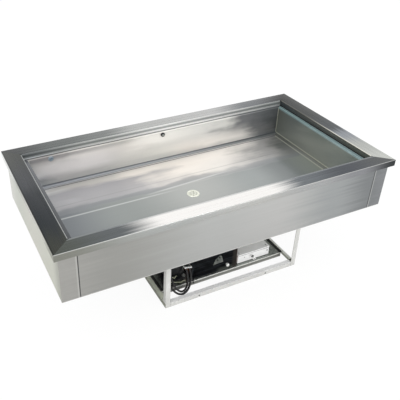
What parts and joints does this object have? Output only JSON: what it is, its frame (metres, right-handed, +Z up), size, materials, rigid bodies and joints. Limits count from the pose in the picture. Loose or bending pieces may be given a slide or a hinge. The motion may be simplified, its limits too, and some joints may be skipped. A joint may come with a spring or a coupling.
{
  "type": "drop in food well",
  "caption": "Rectangular refrigerated drop-in food well: a deep insulated steel tank with a wide flat rim, over an angle-iron frame that carries its condensing unit.",
  "frame": {"origin": "on the floor, below the middle of the rim", "axes": "+Z up, +X to the right seen from the front, along the rim's length; the front with the tied cord and control box faces -Y"},
  "size_m": [1.35, 0.7, 0.5],
  "materials": {
    "brushed_steel": "satin, brushed along the length",
    "tank_steel": "bright satin",
    "white_paint": "smooth off-white paint",
    "galvanised": "dull galvanised",
    "black_steel": "semi-gloss black paint",
    "fin_black": "dark, dusty fins",
    "copper": "dull copper",
    "chrome": "polished",
    "foam": "rough foam",
    "black_rubber": "matt",
    "black_plastic": "fine texture",
    "grey_plastic": "satin",
    "white_plastic": "gloss",
    "cord": "satin sheath"
  },
  "bodies": {
    "well": {"rim_flange": "brushed_steel", "well_tank": "tank_steel", "thermal_break": "grey_plastic", "insulation": "foam", "front_panel": "brushed_steel", "back_panel": "brushed_steel", "end_cover_left": "brushed_steel", "end_cover_right": "brushed_steel", "bottom_panel": "galvanised", "cooling_pipe": "copper", "drain_body": "chrome", "drain_nut": "chrome", "probe_gland": "black_plastic", "wall_grommet": "grey_plastic", "post_front_left": "white_paint", "post_front_right": "white_paint", "post_back_left": "white_paint", "post_back_right": "white_paint", "rail_front": "white_paint", "rail_back": "white_paint", "rail_left": "white_paint", "rail_right": "white_paint", "rail_top_left": "white_paint", "rail_top_right": "white_paint", "cross_rail_front": "white_paint", "cross_rail_back": "white_paint", "deck_plate": "galvanised", "edge_seal_left": "black_rubber", "edge_seal_right": "black_rubber", "compressor_shell": "black_steel", "foot_front_left": "black_rubber", "foot_front_right": "black_rubber", "foot_back_left": "black_rubber", "foot_back_right": "black_rubber", "terminal_cover": "black_plastic", "condenser": "fin_black", "fan_shroud": "black_steel", "fan_motor": "black_steel", "motor_bracket": "galvanised", "filter_drier": "copper", "discharge_pipe": "copper", "liquid_pipe": "copper", "liquid_riser": "copper", "suction_pipe": "copper", "control_box": "white_paint", "control_box_lid": "white_paint", "switch_bezel": "black_plastic", "valve_plate": "galvanised", "service_cap": "white_plastic", "cord_gland": "black_plastic", "power_cord": "cord", "cord_hank": "cord", "plug_lead": "cord", "cord_plug": "black_plastic", "cord_tie": "white_plastic", "cord_hook": "black_steel"},
    "fan": {"fan_blades": "black_plastic"},
    "strainer": {"drain_strainer": "chrome"},
    "rocker": {"switch_rocker": "black_plastic"},
    "knob": {"thermostat_knob": "black_plastic"}
  },
  "joints": [
    {"name": "fan_spin", "type": "hinge", "parent": "well", "child": "fan", "pos_m": [0.02246, -0.1, 0.12013], "axis": [0, 1, 0], "continuous": true},
    {"name": "strainer_lift", "type": "slide", "parent": "well", "child": "strainer", "axis": [0, 0, 1], "range_m": [0, 0.04]},
    {"name": "switch_rock", "type": "hinge", "parent": "well", "child": "rocker", "pos_m": [0.29168, -0.11999, 0.0426], "axis": [0, 1, 0], "range_deg": [-9, 9]},
    {"name": "thermostat_turn", "type": "hinge", "parent": "well", "child": "knob", "pos_m": [0.30278, -0.07499, 0.0426], "axis": [1, 0, 0], "range_deg": [-270, 0]}
  ]
}
